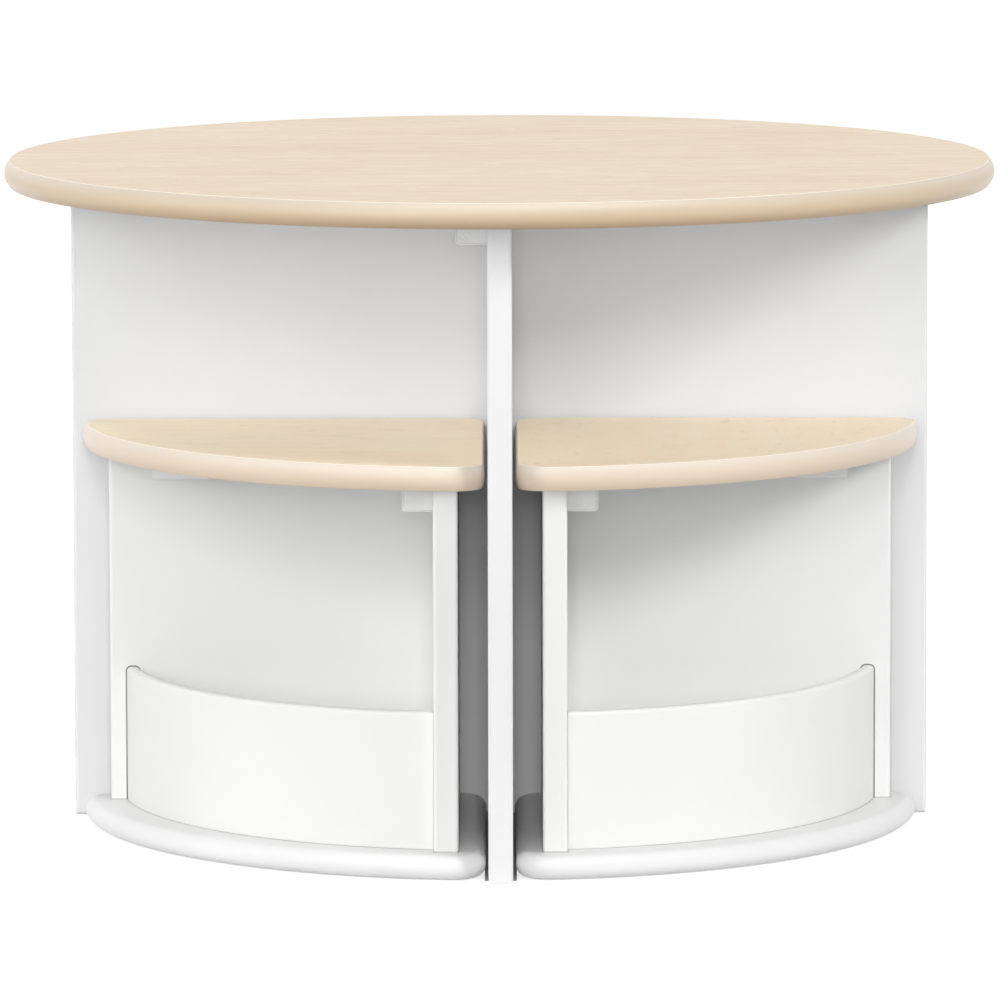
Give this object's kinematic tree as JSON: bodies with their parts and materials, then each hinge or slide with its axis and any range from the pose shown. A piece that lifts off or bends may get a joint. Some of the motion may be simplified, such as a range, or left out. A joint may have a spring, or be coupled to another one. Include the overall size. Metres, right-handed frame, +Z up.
{
  "type": "children's table and stool set",
  "caption": "Low round children's table on two crossed boards, with quarter-round storage stools that nest under its top",
  "frame": {"origin": "on the floor, under the centre of the table", "axes": "+Z up, -Y the front as pictured, +X to the right of it; the cross boards lie along X and Y"},
  "size_m": [0.7499, 0.75, 0.503],
  "materials": {
    "wood_laminate": "pale wood laminate, satin",
    "wood_edging": "pale edging, satin",
    "white_board": "white painted board, satin",
    "bracket_plastic": "white moulded plastic",
    "cover_plastic": "milky moulded plastic",
    "screw_steel": "zinc-plated steel"
  },
  "bodies": {
    "table": {"table_top": "wood_laminate", "table_top_edging": "wood_edging", "cross_board_left_right": "white_board", "cross_board_front_back": "white_board", "table_brackets": "bracket_plastic", "table_bracket_covers": "cover_plastic", "table_bracket_screws": "screw_steel"},
    "back_right_stool": {"back_right_stool_seat": "wood_laminate", "back_right_stool_seat_edging": "wood_edging", "back_right_stool_left_upright": "white_board", "back_right_stool_right_upright": "white_board", "back_right_stool_base": "white_board", "back_right_stool_bin_front": "white_board", "back_right_stool_brackets": "bracket_plastic", "back_right_stool_bracket_covers": "cover_plastic", "back_right_stool_bracket_screws": "screw_steel"},
    "back_left_stool": {"back_left_stool_seat": "wood_laminate", "back_left_stool_seat_edging": "wood_edging", "back_left_stool_left_upright": "white_board", "back_left_stool_right_upright": "white_board", "back_left_stool_base": "white_board", "back_left_stool_bin_front": "white_board", "back_left_stool_brackets": "bracket_plastic", "back_left_stool_bracket_covers": "cover_plastic", "back_left_stool_bracket_screws": "screw_steel"},
    "front_left_stool": {"front_left_stool_seat": "wood_laminate", "front_left_stool_seat_edging": "wood_edging", "front_left_stool_left_upright": "white_board", "front_left_stool_right_upright": "white_board", "front_left_stool_base": "white_board", "front_left_stool_bin_front": "white_board", "front_left_stool_brackets": "bracket_plastic", "front_left_stool_bracket_covers": "cover_plastic", "front_left_stool_bracket_screws": "screw_steel"},
    "front_right_stool": {"front_right_stool_seat": "wood_laminate", "front_right_stool_seat_edging": "wood_edging", "front_right_stool_left_upright": "white_board", "front_right_stool_right_upright": "white_board", "front_right_stool_base": "white_board", "front_right_stool_bin_front": "white_board", "front_right_stool_brackets": "bracket_plastic", "front_right_stool_bracket_covers": "cover_plastic", "front_right_stool_bracket_screws": "screw_steel"}
  },
  "joints": [
    {"name": "back_right_stool_slide", "type": "slide", "parent": "table", "child": "back_right_stool", "axis": [0.7071, 0.7071, 0], "range_m": [0, 0.4]},
    {"name": "back_left_stool_slide", "type": "slide", "parent": "table", "child": "back_left_stool", "axis": [-0.7071, 0.7071, 0], "range_m": [0, 0.4]},
    {"name": "front_left_stool_slide", "type": "slide", "parent": "table", "child": "front_left_stool", "axis": [-0.7071, -0.7071, 0], "range_m": [0, 0.4]},
    {"name": "front_right_stool_slide", "type": "slide", "parent": "table", "child": "front_right_stool", "axis": [0.7071, -0.7071, 0], "range_m": [0, 0.4]}
  ]
}
